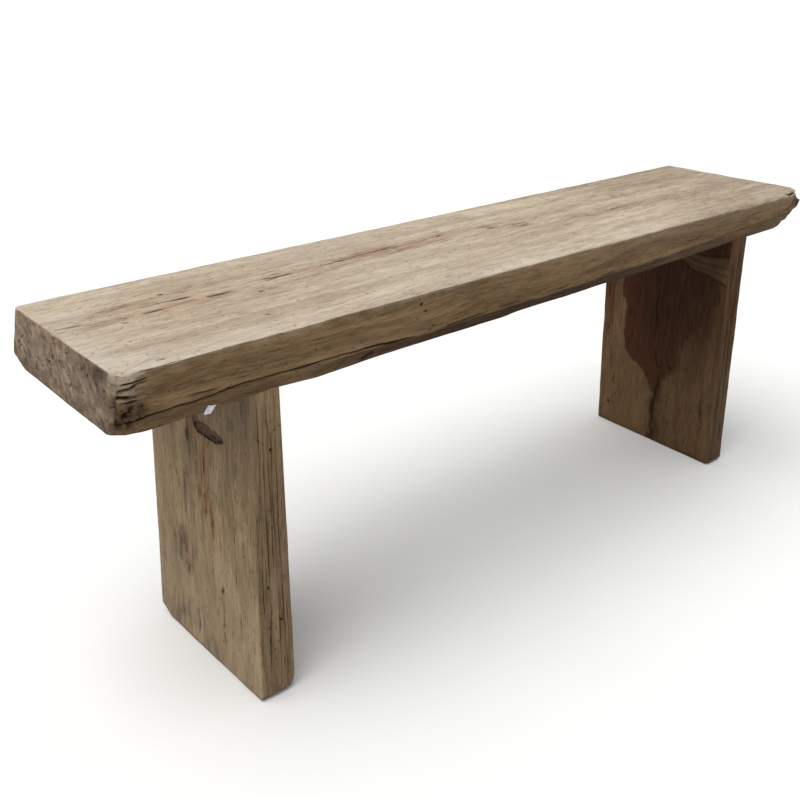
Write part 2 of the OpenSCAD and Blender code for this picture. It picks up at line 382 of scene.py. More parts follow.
class Wood(Graph):
    """Old weathered wood, with its grain along one axis. pith is a point on the tree's centre,
    and grain is how strongly the dark fibres show.

    worn, raw and end are each a light, a middle and a dark colour: of the faces marked as
    face, of the other faces, and of the end grain. tints gives the colours of the marks."""

    def __init__(self, name, axis, pith, grain, worn, raw_and_shaded, end, tints):
        super().__init__(name)
        self.axis = axis
        self.grain = grain
        self.place = self.node("TexCoord").outputs["Object"]
        self.wavy = self.wander()
        self.fibre = self.noise(self.wavy, self.by_axis(12, 250), 5, 0.72)
        self.fine = self.noise(self.wavy, self.by_axis(34, 720), 3, 0.6)
        self.cloud = self.noise(self.wavy, self.by_axis(4, 17), 5, 0.62)
        self.zone = self.noise(self.wavy, self.by_axis(1.6, 34), 3, 0.6)
        self.blotch = self.noise(self.place, self.by_axis(16, 42), 5, 0.66)
        self.dash = self.noise(self.wavy, self.by_axis(42, 380), 3, 0.55)
        self.speck = self.noise(self.place, self.by_axis(150, 260), 2, 0.5)
        self.rings = self.ring_figure(pith)
        self.mottle = self.end_grain()
        # Faces not marked as face take the darker colours, which hold painted shade as well as weathering
        tone = self.blend(self.mark("face"), self.tone(raw_and_shaded), self.tone(worn))
        tone = self.blend(self.mark("end"), tone, self.end_tone(end))
        self.colour(self.marked(tone, tints))
        self.bump(self.height(), 0.0011)
        self.roughness(self.step(self.fibre, 0.35, 0.65, 0.74, 0.92))
        self.shader.inputs["Specular IOR Level"].default_value = 0.07

    def by_axis(self, lengthwise, across):
        """A scale for each axis: lengthwise along the grain, across on the other two."""
        return tuple(lengthwise if i == self.axis else across for i in range(3))

    def wander(self):
        """The place, pushed about across the grain so that the fibres run in waves."""
        bend = self.node("TexNoise", {"Vector": self.scaled(self.place, self.by_axis(3.5, 9)),
                                      "Scale": 1.0, "Detail": 2.0}).outputs["Color"]
        centred = self.node("VectorMath", {0: bend, 1: (0.5, 0.5, 0.5)}, operation="SUBTRACT")
        push = tuple(0.0 if i == self.axis else 0.035 for i in range(3))
        pushed = self.node("VectorMath", {0: centred.outputs[0], 1: push}, operation="MULTIPLY")
        return self.node("VectorMath", {0: self.place, 1: pushed.outputs[0]}).outputs[0]

    def ring_figure(self, pith):
        """The growth rings, as they show on a face cut along them."""
        centred = self.scaled(self.wavy, self.by_axis(0.12, 1), tuple(-c for c in pith))
        wave = self.node("TexWave", {"Vector": centred, "Scale": 26.0, "Distortion": 6.0,
                                     "Detail": 4.0, "Detail Scale": 1.8, "Detail Roughness": 0.7},
                         wave_type="RINGS", rings_direction="XYZ"[self.axis])
        return wave.outputs["Fac"]

    def end_grain(self):
        """The mottled figure of weathered end grain."""
        turned = self.scaled(self.place, self.by_axis(1, 1), turn=self.by_axis(0.9, 0))
        across = tuple((60, 110, 60)[(i - self.axis) % 3] for i in range(3))
        return self.noise(turned, across, 7, 0.72)

    def over(self, tone, value, low, high, share, colour):
        """The tone with a share of a colour over it, more as value goes from low to high."""
        return self.blend(self.times(self.step(value, low, high), share), tone, colour)

    def tone(self, colours):
        """The colour of a face along the grain, before its marks."""
        light, middle, dark = colours
        tone = self.blend(self.step(self.cloud, 0.4, 0.6), middle, light)
        tone = self.over(tone, self.zone, 0.5, 0.66, 0.45, dark)
        tone = self.over(tone, self.rings, 0.5, 0.95, 0.25, dark)
        tone = self.over(tone, self.fibre, 0.47, 0.66, self.grain, dark)
        tone = self.over(tone, self.fine, 0.45, 0.65, 0.3, dark)
        tone = self.over(tone, self.fine, 0.55, 0.38, 0.25, light)
        return self.over(tone, self.blotch, 0.5, 0.66, 0.3, dark)

    def end_tone(self, colours):
        """The colour of the end grain, before its marks."""
        light, middle, dark = colours
        tone = self.blend(self.step(self.mottle, 0.36, 0.52), dark, middle)
        tone = self.blend(self.step(self.mottle, 0.48, 0.66), tone, light)
        return self.over(tone, self.blotch, 0.45, 0.62, 0.5, middle)

    def marked(self, tone, tints):
        """The tone with the marks' tints over it, and then its dashes, specks and cracks."""
        ragged = self.step(self.fibre, 0.38, 0.6, 0.88, 1.0)
        streaks = self.step(self.fibre, 0.4, 0.6, 0.3, 0.95)
        tone = self.blend(self.times(self.mark("pale"), 0.75), tone, tints["pale"])
        tone = self.blend(self.times(self.mark("stain"), ragged), tone, tints["stain"])
        tone = self.blend(self.times(self.mark("red"), streaks), tone, tints["red"])
        torn = self.plus(self.mark("red"), self.times(self.mark("stain"), 0.1))
        often = self.plus(0.16, self.times(torn, 0.65))
        tone = self.over(tone, self.dash, 0.57, 0.68, often, tints["crack"])
        tone = self.over(tone, self.speck, 0.66, 0.74, 0.5, tints["crack"])
        return self.blend(self.step(self.mark("crack"), 0.12, 0.85), tone, tints["crack"])

    def height(self):
        """The fine relief that the bump shows."""
        height = self.plus(self.times(self.fibre, 0.8), self.times(self.fine, 0.45))
        height = self.plus(height, self.times(self.step(self.dash, 0.57, 0.68), -0.5))
        height = self.plus(height, self.times(self.step(self.speck, 0.66, 0.74), -0.4))
        return self.plus(height, self.times(self.times(self.mottle, self.mark("end")), 1.6))


def plain_material(name, colour, change, scale, roughness):
    """A matt material whose colour changes a little with noise."""
    g = Graph(name)
    place = g.node("TexCoord").outputs["Object"]
    cloud = g.noise(place, scale, 4, 0.6)
    g.colour(g.blend(g.step(cloud, 0.35, 0.65), colour, change))
    g.shader.inputs["Roughness"].default_value = roughness
    return g.material


# ---------------------------------------------------------------- places on the CAD nodes


SEAT_LOW, SEAT_HIGH = (np.array(c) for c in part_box("seat_slab"))
SHOULDER = SEAT_LOW[2]
# A foot's corner is looked for up to this height, because the foot may be worn away below it
FOOT_HEIGHT = 0.012


def corner(node, low, high, way_x, way_y):
    """The vertex of a CAD node furthest one way in x and y, between two heights."""
    points = np.array([v.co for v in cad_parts[node].data.vertices])
    points = points[(points[:, 2] > low - 0.0005) & (points[:, 2] < high + 0.0005)]
    return points[np.argmax(points[:, 0] * way_x + points[:, 1] * way_y)]


def between(corners, half, place):
    """Maps a board's places to x and y between its corners, corners[u][v][t] with 0 for low and
    1 for high."""
    share = (place + half) / (2 * half)
    a, b, c = (share[:, i:i + 1] for i in range(3))
    total = 0
    for i, j, k in np.ndindex(2, 2, 2):
        weight = (a if i else 1 - a) * (b if j else 1 - b) * (c if k else 1 - c)
        total = total + weight * corners[i][j][k]
    return total


# ---------------------------------------------------------------- the seat

# Places on the seat are distances along it from its left end, across it from its front edge and
# up from its underside. A place along comes first in its pair.

# How far the front edge is cut back at the underside, or stands out where it is negative
UNDERCUT = [(0.003, 0.002), (0.03, -0.004), (0.06, -0.003), (0.19, 0.001), (0.243, -0.004),
            (0.32, 0.0), (0.53, 0.001), (0.735, 0.002), (0.87, 0.003), (1.06, 0.008),
            (1.12, 0.01), (1.22, 0.011)]
# The height at which that starts
UNDERCUT_HEIGHT = [(0, 0.014), (0.4, 0.014), (0.8, 0.018), (1.06, 0.028), (1.22, 0.036)]
# How far in from the front edge it reaches
UNDERCUT_REACH = 0.07
# How far the worn underside hangs below the shoulders
SAG = 0.003

# The edges and corners cut off: the way each faces, its reach, its seed, how rough it is, and
# the mark that it leaves, with its strength
SEAT_CUTS = [
    ((-1, -1, 0), (0.013, 0.01, 0), 12),
    ((-1, -1, 1), (0.03, 0.016, 0.022), 13, 0.002, "pale", 0.4),
    ((-1, 1, 0), (0.003, 0.006, 0), 18),
    ((-1, 1, -1), (0.016, 0.045, 0.01), 14),
    ((1, -1, 1), (0.022, 0.02, 0.018), 15, 0.003, "stain", 0.5),
    ((1, -1, -1), (0.024, 0.03, 0.03), 16, 0.002, "stain", 0.6),
    ((1, 1, -1), (0.02, 0.02, 0.012), 17),
]

# The holes on top: where along and across the seat, and how big
TOP_HOLES = [((0.076, 0.137), 1.3), ((0.058, 0.014), 1.2), ((0.21, 0.06), 1.0),
             ((0.249, 0.135), 1.5), ((0.15, 0.2), 1.2)]

# The middle of the torn band along the top, and its width and strength
BAND = [(0.0, 0.158), (0.068, 0.16), (0.384, 0.174), (0.64, 0.164), (0.94, 0.112), (1.22, 0.09)]
BAND_WIDTH = [(0, 0.04), (0.3, 0.03), (0.7, 0.02), (1.2, 0.016)]
BAND_STRENGTH = [(0, 0.5), (0.15, 0.8), (0.6, 0.75), (0.9, 0.45), (1.2, 0.3)]

# The larger chips along the top front arris: their place, size and depth
CHIPS = [(0.064, 0.014, 0.003), (0.161, 0.008, 0.0022), (0.204, 0.022, 0.003),
         (0.235, 0.01, 0.0025), (0.385, 0.01, 0.002), (0.454, 0.014, 0.0022),
         (0.707, 0.01, 0.0018), (1.078, 0.03, 0.006), (1.14, 0.02, 0.0045)]

# The cracks on the front face, by height: each one's path, half width, depth, seed, and how
# strongly it shows, wanders and stays open. The long check is the first
CHECK = [(0.002, 0.01), (0.042, 0.0135), (0.085, 0.0135), (0.149, 0.017), (0.218, 0.0145),
         (0.285, 0.015), (0.358, 0.012), (0.4, 0.01)]
FRONT_CRACKS = [
    (CHECK, 0.0013, 0.005, 41, 1.0, 0.0006, 0.75),
    ([(0.002, 0.018), (0.06, 0.0215), (0.11, 0.021), (0.17, 0.024)], 0.0011, 0.003, 42, 0.7),
    ([(0.395, 0.009), (0.415, 0.014), (0.425, 0.024)], 0.0019, 0.006, 43),
    ([(0.42, 0.012), (0.56, 0.015), (0.71, 0.017), (0.85, 0.015)], 0.0012, 0.004, 44, 0.6),
    ([(0.849, 0.006), (0.866, 0.014), (0.886, 0.024)], 0.0013, 0.006, 45),
    ([(0.262, 0.0), (0.29, 0.01)], 0.0014, 0.005, 46),
    ([(0.304, 0.001), (0.33, 0.01)], 0.0014, 0.005, 47),
    ([(0.9, 0.03), (1.0, 0.028), (1.1, 0.033), (1.18, 0.034)], 0.0018, 0.004, 48, 0.5, 0.002),
    ([(1.0, 0.04), (1.08, 0.043), (1.16, 0.041)], 0.0014, 0.003, 49, 0.4),
    ([(0.31, 0.047), (0.36, 0.049), (0.4, 0.048)], 0.001, 0.002, 50, 0.6),
]
# The holes on the front face: their place, radii and depth
FRONT_HOLES = [((0.389, 0.0475), (0.0016, 0.0026), 0.002), ((0.397, 0.038), (0.0016, 0.003), 0.002),
               ((0.238, 0.03), (0.0018, 0.002), 0.0018, 0.8)]
# The painted shade on the strip below the check: its upper edge, and how strongly it shows
SHADED_STRIP_EDGE = CHECK[:-1] + [(0.45, 0.012), (0.85, 0.016), (1.06, 0.024), (1.22, 0.032)]
SHADED_STRIP_STRENGTH = [(0, 0.3), (0.2, 0.4), (0.3, 0.8), (0.45, 1), (0.8, 0.95), (1, 0.6), (1.2, 0.5)]

# The gouges that open at the left end of the front face: each one's path, size and seed
GOUGES = [([(0.0, 0.0585), (0.046, 0.058)], 1.2, 460), ([(0.004, 0.0475), (0.04, 0.052)], 1.4, 400),
          ([(0.004, 0.041), (0.027, 0.0465)], 1.3, 270), ([(0.002, 0.0355), (0.02, 0.0365)], 1.1, 200),
          ([(0.002, 0.031), (0.028, 0.0315)], 0.9, 280)]

# The cracks in both ends: each one's path by height and place across, and its seed
END_CRACKS = [([(0.01, 0.07), (0.034, 0.08), (0.05, 0.078)], 73),
              ([(0.006, 0.1), (0.03, 0.108)], 74), ([(0.02, 0.228), (0.042, 0.236)], 75),
              ([(0.004, 0.128), (0.022, 0.134)], 76), ([(0.03, 0.035), (0.052, 0.048)], 77)]
# The holes in the left end: their place across and by height, and their radii
END_HOLES = [((0.246, 0.027), (0.003, 0.002)), ((0.238, 0.025), (0.0024, 0.0016)),
             ((0.116, 0.05), (0.002, 0.002)), ((0.064, 0.042), (0.002, 0.002))]

# The cracks on the sides that the top and the front face hide
BACK_CRACKS = [([(0.1, 0.03), (0.42, 0.035), (0.72, 0.031)], 91),
               ([(0.66, 0.018), (0.9, 0.022), (1.17, 0.017)], 92), ([(0.03, 0.045), (0.25, 0.043)], 93)]
UNDER_CRACKS = [([(0.25, 0.16), (0.62, 0.18), (0.97, 0.17)], 94),
                ([(0.02, 0.08), (0.16, 0.09), (0.32, 0.08)], 95)]


def seat_corners():
    """The slab's corners in x and y, as corners[right][back][top]."""
    low, high = SEAT_LOW[2], SEAT_HIGH[2]
    top_left = [corner("seat_slab", high, high, -1, way) for way in (-1, 1)]
    top_right = [np.array([SEAT_HIGH[0], SEAT_LOW[1], high]), corner("seat_slab", high, high, 1, 1)]
    under_left = [corner("seat_slab", low, low, -1, way) for way in (-1, 1)]
    back = corner("seat_slab", low, low, 1, 1)
    under_right = [back + top_right[0] - top_right[1], back]
    return [[(under_left[i][:2], top_left[i][:2]) for i in (0, 1)],
            [(under_right[i][:2], top_right[i][:2]) for i in (0, 1)]]


def seat_mapper(half):
    """Maps the seat's board to the slab, with its undercut."""
    corners = seat_corners()

    def to_world(place):
        flat = between(corners, half, place)
        a, b, height = (place + half).T
        rise = np.clip(1 - height / along(a, UNDERCUT_HEIGHT), 0, 1) ** 1.15
        flat[:, 1] += along(a, UNDERCUT) * rise * np.clip(1 - b / UNDERCUT_REACH, 0, 1)
        height -= SAG * (1 - height / (2 * half[2]))
        placed = np.column_stack([flat, height + SEAT_LOW[2]])
        return np.clip(placed, SEAT_LOW - (0, 0, 0.01), SEAT_HIGH)

    return to_world


def seat():
    """The slab: a, b and h are distances from its left end, its front edge and its underside."""
    board = Board(SEAT_HIGH - SEAT_LOW, 372, (128, 64, 28, 18), 0.0025)
    a, b, h = (board.base + board.half).T
    worn_right = 0.006 * smooth_step(a, 0.45, 1.15) * fall(b, 0, 0.03)
    board.round_edges(np.maximum(0.0018 + 0.0012 * fractal(board.base * 25, 11) + worn_right, 0.0012))
    for edge in SEAT_CUTS:
        board.knock_off(*edge)
    a, b, h = (board.place + board.half).T
    top, front, end = board.side(2, 1), board.side(1, -1), board.marks["end"]
    board.marks["face"] = top
    weather_seat(board, a, b, h, top, front, end)
    tear_band(board, a, b, top)
    wear_front_arris(board, a, b, h, front)
    check_front(board, a, b, h, front)
    rot_left_corner(board, a, h, front)
    break_right_corner(board, a, b, h, top, front)
    crack_ends(board, b, h, end * (a < board.half[0]), end * (a > board.half[0]))
    crack_hidden_sides(board, a, b, h)
    board.scatter_pits(a, b, top, ((0.03, 1.2), (0.01, 0.25)), 20, (0.003, 0.0011), 0.0018, 81, 0.7)
    board.scatter_cracks(a, b, top, ((0.01, 1.23), (0.01, 0.26)), 90, 0.0013, 0.001, 300, 0.42)
    board.scatter_cracks(a, h, front, ((0.05, 1.2), (0.012, 0.054)), 80, 0.0009, 0.0012, 1100, 0.5)
    for place, size in TOP_HOLES:
        board.pit(a, b, top, place, (0.0036 * size, 0.0015 * size), 0.002, 0.9)
    return board.build("seat_board", seat_mapper(board.half), Wood(
        "seat_elm", axis=0, pith=(0, 0.05, 0.25), grain=0.5,
        worn=((0.57, 0.48, 0.365), (0.47, 0.38, 0.28), (0.26, 0.185, 0.125)),
        raw_and_shaded=((0.24, 0.158, 0.082), (0.165, 0.105, 0.052), (0.075, 0.043, 0.022)),
        end=((0.34, 0.26, 0.18), (0.2, 0.148, 0.103), (0.095, 0.069, 0.05)),
        tints={"stain": (0.042, 0.025, 0.017), "red": (0.285, 0.165, 0.105),
               "pale": (0.58, 0.52, 0.44), "crack": (0.018, 0.01, 0.006)}).material)


def weather_seat(board, a, b, h, top, front, end):
    """Hollows and raised grain all over, pale and dark drifts, and rough ends."""
    p = board.place
    back, under = board.side(1, 1), board.side(2, -1)
    board.relief(0.0007 * (1 + fractal(p * (6, 16, 16), 21)))
    board.relief(0.0003 * (1 + fractal(p * (22, 150, 150), 22, 2)) * (1 - end))
    board.relief(0.0014 * (1 + fractal(p * (9, 1, 26), 23)) * front)
    board.relief(0.001 * (1 + fractal(p * (1, 60, 90), 24, 4)) * end)
    pits = smooth_step(fractal(p * (1, 110, 190), 25, 4), 0.65, 1.1) * end
    board.cut(0.0025 * pits, "crack", 0.7)
    # The board stands out again, so that these hollows leave its outline where it was
    board.relief(-0.0007 * top - 0.0014 * (front + end) - 0.003 * back - 0.001 * under)
    drift = fractal(p * (4, 14, 14), 26)
    board.stain("pale", top * smooth_step(drift, 0.05, 0.9) * 0.4 * fall(p[:, 0], -0.2, 0.5))
    board.stain("pale", top * bell(a - 0.5, 0.25) * 0.25)
    board.stain("stain", front * smooth_step(-drift, 0.1, 0.9) * 0.4)
    board.stain("stain", top * smooth_step(a, 0.8, 1.15) * 0.17)
    dim = np.clip(fall(b, 0.02, 0.12) + 0.7 * fall(h, 0, 0.03), 0, 1)
    board.stain("stain", end * dim * (0.5 + 0.5 * fractal(p * (1, 24, 40), 27)))


def tear_band(board, a, b, top):
    """The reddish band of torn grain along the top, and the bleached left end and front."""
    p = board.place
    from_band = (b - along(a, BAND) - 0.006 * fractal(p * (7, 0, 0), 31)) / along(a, BAND_WIDTH)
    in_band = np.clip(1.25 * bell(from_band, 1) * along(a, BAND_STRENGTH) * top, 0, 1)
    board.stain("red", in_band * patchy(p * (8, 60, 0), 32, 0.65, 0.8))
    torn = smooth_step(fractal(p * (22, 230, 0), 33, 2), 0.15, 0.75) * in_band
    board.relief(0.0009 * torn)
    board.stain("crack", 0.7 * torn)
    bleach = np.clip(fall(a, 0, 0.1) + 0.6 * fall(b, 0.01, 0.07) * (a < 0.9), 0, 1)
    board.stain("pale", top * bleach * patchy(p * (9, 30, 0), 34, 0.5, 0.6))


def wear_front_arris(board, a, b, h, front):
    """Chips along the top front arris, rubbed pale, deeper to the right, and painted light below them."""
    random = np.random.RandomState(35)
    chips = list(CHIPS)
    for _ in range(20):
        place = 0.03 + 1.18 * random.rand()
        chips.append((place, 0.004 + 0.01 * random.rand(), 0.0008 + 0.0018 * random.rand() * place))
    below = h - 2 * board.half[2]
    for place, size, depth in chips:
        chip = bell(a - place, size) * (np.abs(a - place) < 3 * size) * spot(b, below, (0, 0), (0.006, 0.006))
        board.cut(depth * chip, "pale", 0.25)
    rubbed = spot(b, below, (0, 0), (0.004, 0.004))
    board.stain("pale", rubbed * patchy(board.place * 22, 36, 0.4, 0.6) * 0.4)
    # Painted light: the upper front face is paler towards the right
    lit = smooth_step(a, 0.45, 0.95) * smooth_step(h, 0.026, 0.054) * fall(b, 0.008, 0.02)
    board.stain("pale", lit * front * 0.1)


def check_front(board, a, b, h, front):
    """The long check low on the front face, the shorter ones, and painted shade below and underneath."""
    for crack in FRONT_CRACKS:
        board.crack(a, h, front, *crack)
    for hole in FRONT_HOLES:
        board.pit(a, h, front, *hole)
    under = board.side(2, -1)
    # Painted shade: the strip below the check and the underside are darkened as if in shadow
    edge = along(a, SHADED_STRIP_EDGE) + 0.001 * fractal(board.place * (30, 0, 60), 51)
    strip = smooth_step(edge - h, 0, 0.003) * along(a, SHADED_STRIP_STRENGTH)
    board.stain("stain", (front + under * (b < 0.01)) * strip)
    board.stain("stain", under * 0.55)


def rot_left_corner(board, a, h, front):
    """Gouges that open at the left end of the front face, and the rot under them."""
    p = board.place
    near = fall(a, 0.012, 0.05)
    torn = fractal(p * (34, 20, 330), 61, 3)
    grooves = smooth_step(torn, 0.05, 0.75) * near * front * smooth_step(h, 0.026, 0.034)
    board.relief(0.0035 * grooves)
    board.stain("crack", 0.75 * grooves)
    board.stain("pale", 0.25 * near * front * smooth_step(h, 0.026, 0.036) * (torn < 0.1))
    for path, size, seed in GOUGES:
        board.crack(a, h, front, path, 0.0014 * size, 0.006 * size, seed, 1.0, 0.0008)
    rotten = smooth_step(fractal(p * (190, 60, 330), 62, 3), -0.2, 0.6)
    reach = np.minimum(oval(a, h, (0.012, 0.018), (0.02, 0.014)), oval(a, h, (0.028, 0.02), (0.01, 0.007)))
    board.relief(0.004 * rotten * bell(reach, 1) * front)
    board.stain("crack", 0.75 * rotten * bell(reach, 1) * front)
    board.stain("stain", 0.9 * np.exp(-reach) * front)


def break_right_corner(board, a, b, h, top, front):
    """The broken front corner at the right end: torn, dark, and with a crevice on the top."""
    torn = fractal(board.place * (110, 50, 170), 65, 3)
    broken = smooth_step(a, 1.2, 1.218) * fall(b, 0.02, 0.055) * (1 - 0.7 * top)
    board.relief(0.003 * broken * smooth_step(torn, -0.2, 0.7))
    board.stain("stain", broken * np.clip(0.55 + 0.6 * torn, 0, 1))
    board.stain("crack", 0.7 * broken * smooth_step(torn, 0.2, 0.8))
    board.crack(a, b, top, [(1.18, 0.005), (1.204, 0.006), (1.224, 0.012)],
                0.0046, 0.006, 66, 1.0, 0.002, 0.6)
    board.crack(a, h, front, [(1.16, 0.032), (1.196, 0.034), (1.222, 0.042)],
                0.0018, 0.004, 67, 0.7, 0.002)


def crack_ends(board, b, h, left, right):
    """Checks and holes in the end grain, and the small chips along the ends' top arrises."""
    board.crack(h, b, left, [(0.016, 0.16), (0.024, 0.153), (0.036, 0.16), (0.046, 0.156)],
                0.0018, 0.007, 71)
    board.crack(h, b, left, [(0.022, 0.155), (0.03, 0.151), (0.042, 0.155)], 0.0014, 0.006, 72)
    for path, seed in END_CRACKS:
        board.crack(h, b, left, path, 0.0012, 0.003, seed, 0.7)
        board.crack(h, b, right, path, 0.0016, 0.004, seed + 9, 0.9, 0.003)
    for place, radii in END_HOLES:
        board.pit(b, h, left, place, radii, 0.003)
    board.scatter_pits(b, h, np.maximum(left, right), ((0.01, 0.26), (0.004, 0.057)), 16,
                       (0.0019, 0.0013), 0.0022, 78)
    top = 2 * board.half[2]
    random = np.random.RandomState(79)
    for _ in range(26):
        place, size = 0.26 * random.rand(), 0.003 + 0.006 * random.rand()
        chip = spot(b, h, (place, top), (size, 0.005))
        for end in (left, right):
            board.cut(0.0028 * chip * end, "red", 0.6)


def crack_hidden_sides(board, a, b, h):
    """Checks on the back edge and the underside."""
    back, under = board.side(1, 1), board.side(2, -1)
    for path, seed in BACK_CRACKS:
        board.crack(a, h, back, path, 0.0026, 0.005, seed)
    board.scatter_cracks(a, h, back, ((0.02, 1.2), (0.008, 0.052)), 24, 0.0022, 0.002, 4000)
    for path, seed in UNDER_CRACKS:
        board.crack(a, b, under, path, 0.007, 0.004, seed)


# ---------------------------------------------------------------- the legs

# On a leg, y runs from its front edge to its back edge, and z is the height from the floor.
# Small cracks and holes are scattered over these spans of a leg's faces, in z and then in y
FACE_SPANS = ((0.01, 0.39), (-0.12, 0.12))
OUTER_SPANS = ((0.01, 0.39), (-0.12, 0.1))
# The light, the middle and the dark colour of the legs' end grain
LEG_END = ((0.2, 0.15, 0.1), (0.12, 0.085, 0.055), (0.06, 0.04, 0.028))


def leg_mapper(node, half, front_rise=0.0):
    """Maps a leg's board, which stands with u up, to the leg's corners.

    front_rise is how far the top of its front edge goes on up, under the seat's cut-back edge."""
    corners = []
    for low, high in ((0, FOOT_HEIGHT), (SHOULDER, SHOULDER)):
        corners.append([[corner(node, low, high, x, y)[:2] for x in (-1, 1)] for y in (-1, 1)])

    def to_world(place):
        near_top = smooth_step(place[:, 0], half[0] - 0.03, half[0])
        near_front = fall(place[:, 1], 0.008 - half[1], 0.03 - half[1])
        height = place[:, 0] + half[0] + front_rise * near_top * near_front
        return np.column_stack([between(corners, half, place), np.maximum(height, 0)])

    return to_world


def leg_board(node, seed):
    """A leg's board with its edges rounded, and the relief that both legs share."""
    foot = [corner(node, 0, FOOT_HEIGHT, x, y) for x, y in ((-1, -1), (1, -1), (-1, 1))]
    size = (SHOULDER + SHOULDER_LAP, foot[2][1] - foot[0][1], foot[1][0] - foot[0][0])
    board = Board(size, 190, (56, 76, 136, 20), 0.0034)
    board.round_edges(np.maximum(0.0026 + 0.0012 * fractal(board.base * 25, seed), 0.0014))
    p, end = board.place, board.marks["end"]
    board.relief(0.0006 * fractal(p * (6, 18, 18), seed + 1) - 0.0006)
    board.relief(0.0003 * (1 + fractal(p * (22, 150, 150), seed + 4, 2)) * (1 - end))
    board.relief(0.0005 * (1 + fractal(p * (1, 90, 90), seed + 6)) * end * (p[:, 0] < 0))
    dirt = fall(p[:, 0] + board.half[0], 0, 0.012)
    board.stain("stain", dirt * patchy(p * 60, seed + 9, 0.5, 0.6) * 0.7)
    return board


# The left leg's stains: the centre and radii of each, and how strongly it shows. Those at the knot
# are darker in the middle
KNOT_STAINS = [((0.003, 0.328), (0.015, 0.012), 1.2), ((0.017, 0.305), (0.007, 0.026), 1.2),
               ((-0.008, 0.342), (0.014, 0.006), 0.7)]
LEFT_STAINS = [
    ((0.03, 0.22), (0.006, 0.04), 0.7), ((0.039, 0.138), (0.014, 0.022), 0.9),
    ((0.06, 0.142), (0.005, 0.012), 0.9), ((0.029, 0.11), (0.006, 0.014), 0.8),
    ((0.041, 0.035), (0.01, 0.02), 0.9), ((0.012, 0.3), (0.006, 0.03), 0.7),
    ((-0.026, 0.012), (0.022, 0.02), 0.6), ((-0.086, 0.3), (0.006, 0.018), 0.6),
    ((-0.08, 0.35), (0.02, 0.012), 0.6), ((0.055, 0.31), (0.004, 0.02), 0.5),
    ((-0.085, 0.392), (0.045, 0.012), 0.9), ((0.055, 0.02), (0.03, 0.03), 0.6),
    ((0.065, 0.12), (0.012, 0.06), 0.35),
]
# Its reddish streaks: the place across, the lowest and highest z, and the half width
LEFT_STREAKS = [(-0.014, 0.19, 0.32, 0.011), (-0.026, 0.26, 0.31, 0.009),
                (-0.03, 0.15, 0.25, 0.005), (0.022, 0.09, 0.14, 0.004)]
LEFT_HOLES = [(0.0085, 0.082), (-0.0475, 0.115), (-0.0465, 0.041), (-0.02, 0.21)]
# The cracks on its outer face and its front edge: each one's path, size and seed
OUTER_CRACKS = [
    ([(0.255, 0.002), (0.29, -0.002), (0.325, -0.004)], 1.3, 123),
    ([(0.17, -0.01), (0.22, -0.003), (0.27, 0.0), (0.315, -0.005)], 0.9, 124),
    ([(0.225, -0.018), (0.3, -0.014)], 1.0, 125),
    ([(0.02, -0.052), (0.16, -0.049), (0.3, -0.052)], 0.7, 127),
    ([(0.05, -0.09), (0.2, -0.086), (0.37, -0.09)], 0.7, 128),
    ([(0.0, 0.008), (0.09, 0.012), (0.16, 0.01)], 0.8, 129),
    ([(0.215, 0.046), (0.25, 0.05)], 1.0, 126),
]
EDGE_SPLITS = [
    ([(0.1, -0.016), (0.25, -0.015), (0.4, -0.014)], 1.0, 151),
    ([(0.02, -0.01), (0.15, -0.006), (0.3, -0.008), (0.4, -0.007)], 1.3, 152),
    ([(0.16, 0.0), (0.29, 0.001), (0.4, -0.001)], 1.2, 153),
    ([(0.0, 0.004), (0.12, 0.006), (0.26, 0.004), (0.36, 0.006)], 1.4, 154),
    ([(0.06, 0.012), (0.2, 0.011), (0.38, 0.013)], 1.1, 155),
    ([(0.03, 0.018), (0.14, 0.017)], 0.9, 156),
]
EDGE_HOLES = [(0.327, 0.004), (0.232, 0.001), (0.105, 0.008), (0.155, -0.009)]
LEFT_INNER_CRACKS = [([(0.04, 0.04), (0.22, 0.036), (0.34, 0.042)], 141),
                     ([(0.1, -0.05), (0.3, -0.045)], 142), ([(0.02, 0.08), (0.19, 0.085)], 143)]
# The crack down each leg's back edge
BACK_PATH = [(0.03, 0.002), (0.2, 0.0), (0.38, 0.003)]


def left_leg():
    """The thicker leg, whose outer face has the leaf-shaped knot."""
    board = leg_board("left_leg", 101)
    board.knock_off((-1, 1, 0), (0.013, 0.03, 0), 111, 0.0008, "stain", 0.4)
    board.knock_off((-1, 0, 1), (0.022, 0, 0.008), 112, 0.0005)
    board.knock_off((-1, -1, 0), (0.006, 0.006, 0), 113, 0.0005)
    to_world = leg_mapper("left_leg", board.half)
    _, y, z = to_world(board.place).T
    across = board.place[:, 2]
    outer, inner, back = board.side(2, -1), board.side(2, 1), board.side(1, 1)
    board.marks["face"] = outer * 0.95
    knot_left_leg(board, y, z, outer)
    stain_left_leg(board, y, z, outer)
    split_front_edge(board, z, across, board.side(1, -1))
    board.scatter_cracks(z, y, outer, OUTER_SPANS, 70, 0.0012, 0.001, 2000, 0.5)
    board.scatter_pits(z, y, outer, OUTER_SPANS, 16, (0.0016, 0.0013), 0.002, 171)
    for path, seed in LEFT_INNER_CRACKS:
        board.crack(z, y, inner, path, 0.0026, 0.004, seed, 0.8)
    board.crack(z, across, back, BACK_PATH, 0.002, 0.005, 144)
    board.scatter_cracks(z, y, inner, OUTER_SPANS, 30, 0.002, 0.0015, 2600, 0.5)
    return board.build("left_leg_board", to_world, Wood(
        "left_leg_elm", axis=2, pith=(0.05, 0.1, 0), grain=0.4,
        worn=((0.33, 0.245, 0.145), (0.245, 0.173, 0.099), (0.12, 0.077, 0.042)),
        raw_and_shaded=((0.25, 0.175, 0.1), (0.19, 0.13, 0.072), (0.1, 0.065, 0.036)),
        end=LEG_END,
        tints={"stain": (0.095, 0.07, 0.06), "red": (0.19, 0.082, 0.038),
               "pale": (0.34, 0.27, 0.19), "crack": (0.018, 0.011, 0.008)}).material)


